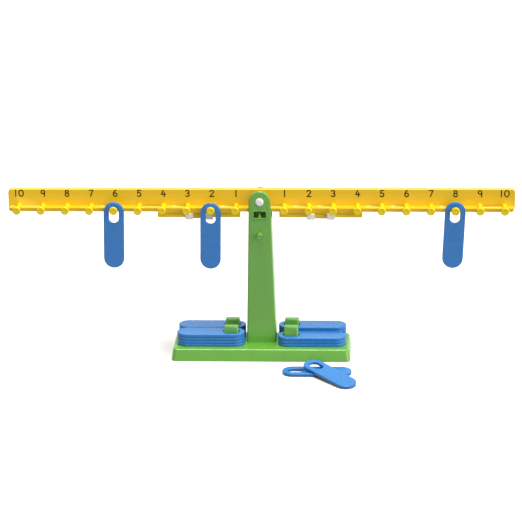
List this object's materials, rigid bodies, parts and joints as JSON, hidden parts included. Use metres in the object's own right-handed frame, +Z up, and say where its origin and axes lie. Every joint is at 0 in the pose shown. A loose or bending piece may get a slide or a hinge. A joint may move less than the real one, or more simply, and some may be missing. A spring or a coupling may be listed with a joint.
{
  "type": "number balance",
  "caption": "Moulded plastic number balance: a numbered beam with pegs tilts in a forked post on a base that stores slotted hanging weights.",
  "frame": {"origin": "middle of the base's underside, on the floor", "axes": "+X along the beam to the right, +Y to the back, +Z up"},
  "size_m": [0.6524, 0.1673, 0.22],
  "materials": {
    "green_plastic": "satin moulded plastic, mid green",
    "yellow_plastic": "satin moulded plastic, warm yellow",
    "blue_plastic": "satin moulded plastic, mid blue",
    "white_plastic": "moulded plastic, off white"
  },
  "bodies": {
    "stand": {"base": "green_plastic", "post": "green_plastic", "pivot_pin": "white_plastic", "pivot_cap": "white_plastic"},
    "beam": {"beam": "yellow_plastic", "beam_pegs": "yellow_plastic"},
    "slider_left": {"slider_left": "white_plastic"},
    "slider_right": {"slider_right": "white_plastic"},
    "hung_weight_left_outer": {"hung_weight_left_outer": "blue_plastic"},
    "hung_weight_left_inner": {"hung_weight_left_inner": "blue_plastic"},
    "hung_weight_right": {"hung_weight_right": "blue_plastic"},
    "left_front_weight_1": {"left_front_weight_1": "blue_plastic"},
    "left_front_weight_2": {"left_front_weight_2": "blue_plastic"},
    "left_front_weight_3": {"left_front_weight_3": "blue_plastic"},
    "left_front_weight_4": {"left_front_weight_4": "blue_plastic"},
    "left_back_weight_1": {"left_back_weight_1": "blue_plastic"},
    "left_back_weight_2": {"left_back_weight_2": "blue_plastic"},
    "left_back_weight_3": {"left_back_weight_3": "blue_plastic"},
    "left_back_weight_4": {"left_back_weight_4": "blue_plastic"},
    "right_front_weight_1": {"right_front_weight_1": "blue_plastic"},
    "right_front_weight_2": {"right_front_weight_2": "blue_plastic"},
    "right_front_weight_3": {"right_front_weight_3": "blue_plastic"},
    "right_back_weight_1": {"right_back_weight_1": "blue_plastic"},
    "right_back_weight_2": {"right_back_weight_2": "blue_plastic"},
    "right_back_weight_3": {"right_back_weight_3": "blue_plastic"},
    "right_back_weight_4": {"right_back_weight_4": "blue_plastic"},
    "loose_weight_flat": {"loose_weight_flat": "blue_plastic"},
    "loose_weight_leaning": {"loose_weight_leaning": "blue_plastic"}
  },
  "joints": [
    {"name": "beam_tilt", "type": "hinge", "parent": "stand", "child": "beam", "pos_m": [0, 0.0093, 0.206], "axis": [0, 1, 0], "range_deg": [-20, 20]},
    {"name": "slider_left_slide", "type": "slide", "parent": "beam", "child": "slider_left", "axis": [1, 0, 0], "range_m": [-0.032, 0.032]},
    {"name": "slider_right_slide", "type": "slide", "parent": "beam", "child": "slider_right", "axis": [1, 0, 0], "range_m": [-0.032, 0.032]},
    {"name": "hung_weight_left_outer_swing", "type": "hinge", "parent": "beam", "child": "hung_weight_left_outer", "pos_m": [-0.1875, -0.0057, 0.19635], "axis": [0, -1, 0], "range_deg": [-55, 55]},
    {"name": "hung_weight_left_inner_swing", "type": "hinge", "parent": "beam", "child": "hung_weight_left_inner", "pos_m": [-0.0625, -0.0086, 0.19635], "axis": [0, -1, 0], "range_deg": [-55, 35]},
    {"name": "hung_weight_right_swing", "type": "hinge", "parent": "beam", "child": "hung_weight_right", "pos_m": [0.25, -0.003, 0.19635], "axis": [0, -1, 0], "range_deg": [-55, 55]},
    {"name": "left_front_weight_1_lift", "type": "slide", "parent": "stand", "child": "left_front_weight_1", "axis": [0, 0, 1], "range_m": [0, 0.0251]},
    {"name": "left_front_weight_2_lift", "type": "slide", "parent": "left_front_weight_1", "child": "left_front_weight_2", "axis": [0, 0, 1], "range_m": [0, 0.0209]},
    {"name": "left_front_weight_3_lift", "type": "slide", "parent": "left_front_weight_2", "child": "left_front_weight_3", "axis": [0, 0, 1], "range_m": [0, 0.0167]},
    {"name": "left_front_weight_4_lift", "type": "slide", "parent": "left_front_weight_3", "child": "left_front_weight_4", "axis": [0, 0, 1], "range_m": [0, 0.0125]},
    {"name": "left_back_weight_1_lift", "type": "slide", "parent": "stand", "child": "left_back_weight_1", "axis": [0, 0, 1], "range_m": [0, 0.0251]},
    {"name": "left_back_weight_2_lift", "type": "slide", "parent": "left_back_weight_1", "child": "left_back_weight_2", "axis": [0, 0, 1], "range_m": [0, 0.0209]},
    {"name": "left_back_weight_3_lift", "type": "slide", "parent": "left_back_weight_2", "child": "left_back_weight_3", "axis": [0, 0, 1], "range_m": [0, 0.0167]},
    {"name": "left_back_weight_4_lift", "type": "slide", "parent": "left_back_weight_3", "child": "left_back_weight_4", "axis": [0, 0, 1], "range_m": [0, 0.0125]},
    {"name": "right_front_weight_1_lift", "type": "slide", "parent": "stand", "child": "right_front_weight_1", "axis": [0, 0, 1], "range_m": [0, 0.0251]},
    {"name": "right_front_weight_2_lift", "type": "slide", "parent": "right_front_weight_1", "child": "right_front_weight_2", "axis": [0, 0, 1], "range_m": [0, 0.0209]},
    {"name": "right_front_weight_3_lift", "type": "slide", "parent": "right_front_weight_2", "child": "right_front_weight_3", "axis": [0, 0, 1], "range_m": [0, 0.0167]},
    {"name": "right_back_weight_1_lift", "type": "slide", "parent": "stand", "child": "right_back_weight_1", "axis": [0, 0, 1], "range_m": [0, 0.0251]},
    {"name": "right_back_weight_2_lift", "type": "slide", "parent": "right_back_weight_1", "child": "right_back_weight_2", "axis": [0, 0, 1], "range_m": [0, 0.0209]},
    {"name": "right_back_weight_3_lift", "type": "slide", "parent": "right_back_weight_2", "child": "right_back_weight_3", "axis": [0, 0, 1], "range_m": [0, 0.0167]},
    {"name": "right_back_weight_4_lift", "type": "slide", "parent": "right_back_weight_3", "child": "right_back_weight_4", "axis": [0, 0, 1], "range_m": [0, 0.0125]},
    {"name": "loose_weight_flat_lift", "type": "slide", "parent": "stand", "child": "loose_weight_flat", "axis": [0, 0, 1], "range_m": [0, 0.04]},
    {"name": "loose_weight_leaning_lift", "type": "slide", "parent": "loose_weight_flat", "child": "loose_weight_leaning", "axis": [0, 0, 1], "range_m": [0, 0.04]}
  ]
}
